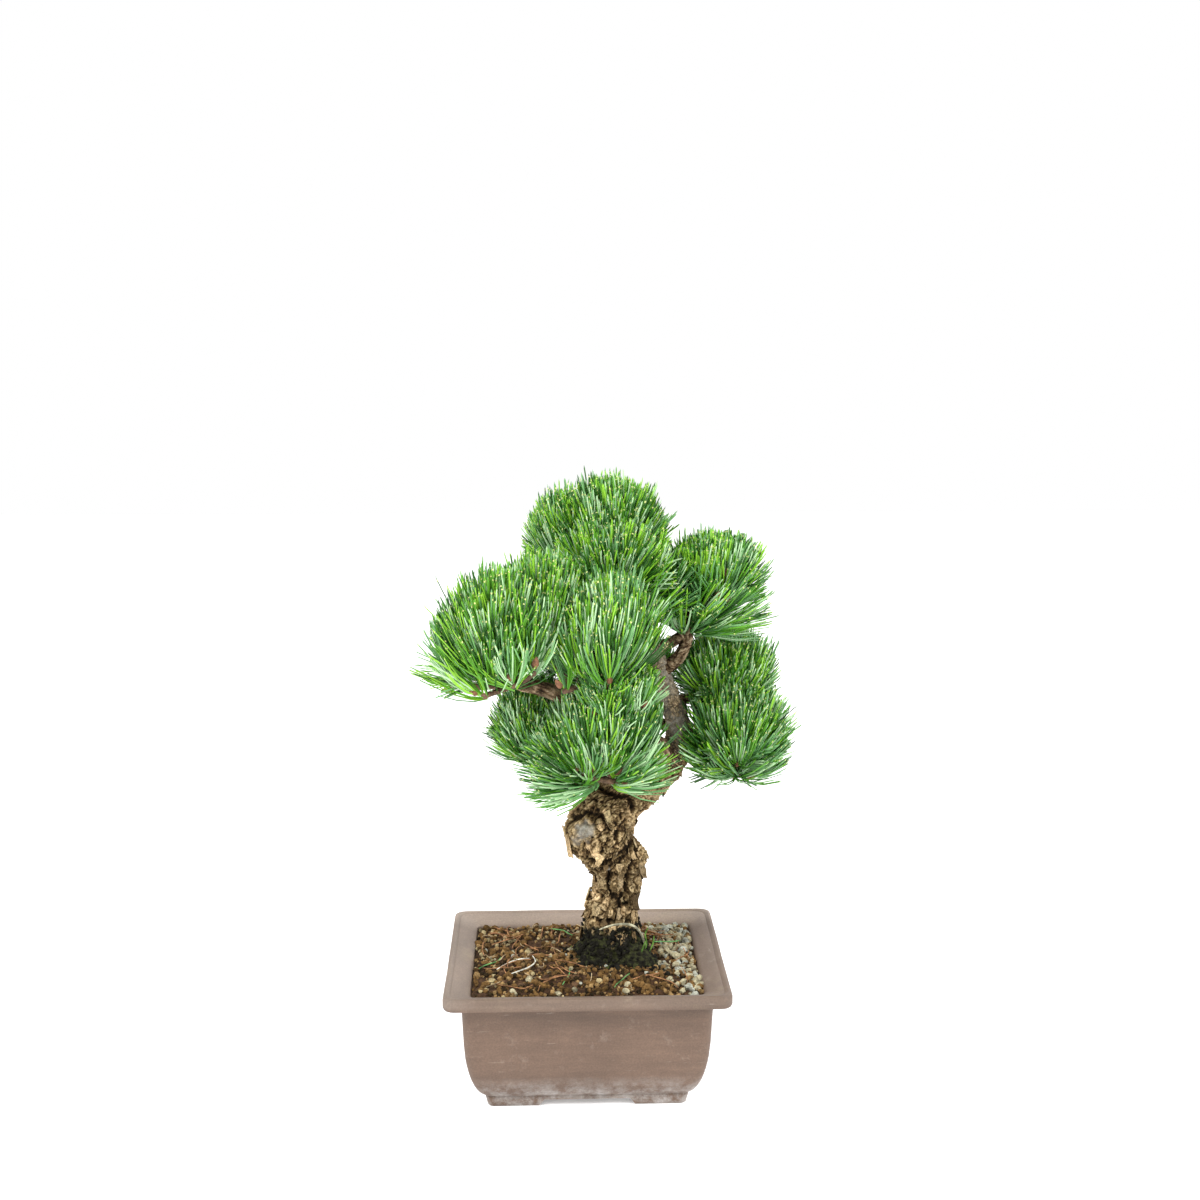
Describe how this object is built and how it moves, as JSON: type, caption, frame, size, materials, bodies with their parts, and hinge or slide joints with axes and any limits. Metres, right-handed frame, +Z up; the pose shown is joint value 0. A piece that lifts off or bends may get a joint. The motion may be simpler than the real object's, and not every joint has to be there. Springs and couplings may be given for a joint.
{
  "type": "japanese white pine bonsai",
  "caption": "Small white pine bonsai with a gnarled S-shaped trunk and dense pads of needles, planted in a rectangular clay pot with a broad flared lip.",
  "frame": {"origin": "on the ground plane under the pot's feet, below the middle of the whole plant's spread", "axes": "+X to the plant's right as the picture shows it, +Y to the back, +Z up"},
  "size_m": [0.2262, 0.1695, 0.3926],
  "materials": {
    "clay": "unglazed, matt, with faint whitish stains",
    "soil": "loose brown granules with bark bits and pale pumice",
    "bark": "rough plated bark, grey to brown",
    "young_bark": "thin grey-brown bark",
    "needles": "green needles with blue-green inner sides, satin"
  },
  "bodies": {
    "root": {"pot": "clay", "soil": "soil", "trunk": "bark", "bough_left": "young_bark", "bough_left_riser": "young_bark", "bough_front": "young_bark", "bough_front_low": "young_bark", "bough_lower_front": "young_bark", "bough_lower_left": "young_bark", "bough_right_lower": "young_bark", "bough_right_middle": "young_bark", "bough_right_upper": "young_bark", "bough_top_front": "young_bark", "bough_top_left": "young_bark", "bough_back_left": "young_bark", "bough_back_low": "young_bark", "bough_back_high": "young_bark", "foliage_left": "needles", "foliage_left_upper": "needles", "foliage_front": "needles", "foliage_front_low": "needles", "foliage_lower_front": "needles", "foliage_lower_left": "needles", "foliage_right_lower": "needles", "foliage_right_middle": "needles", "foliage_right_upper": "needles", "foliage_top_front": "needles", "foliage_top": "needles", "foliage_top_left": "needles", "foliage_back_left": "needles", "foliage_back_low": "needles", "foliage_back_high": "needles"}
  },
  "joints": []
}
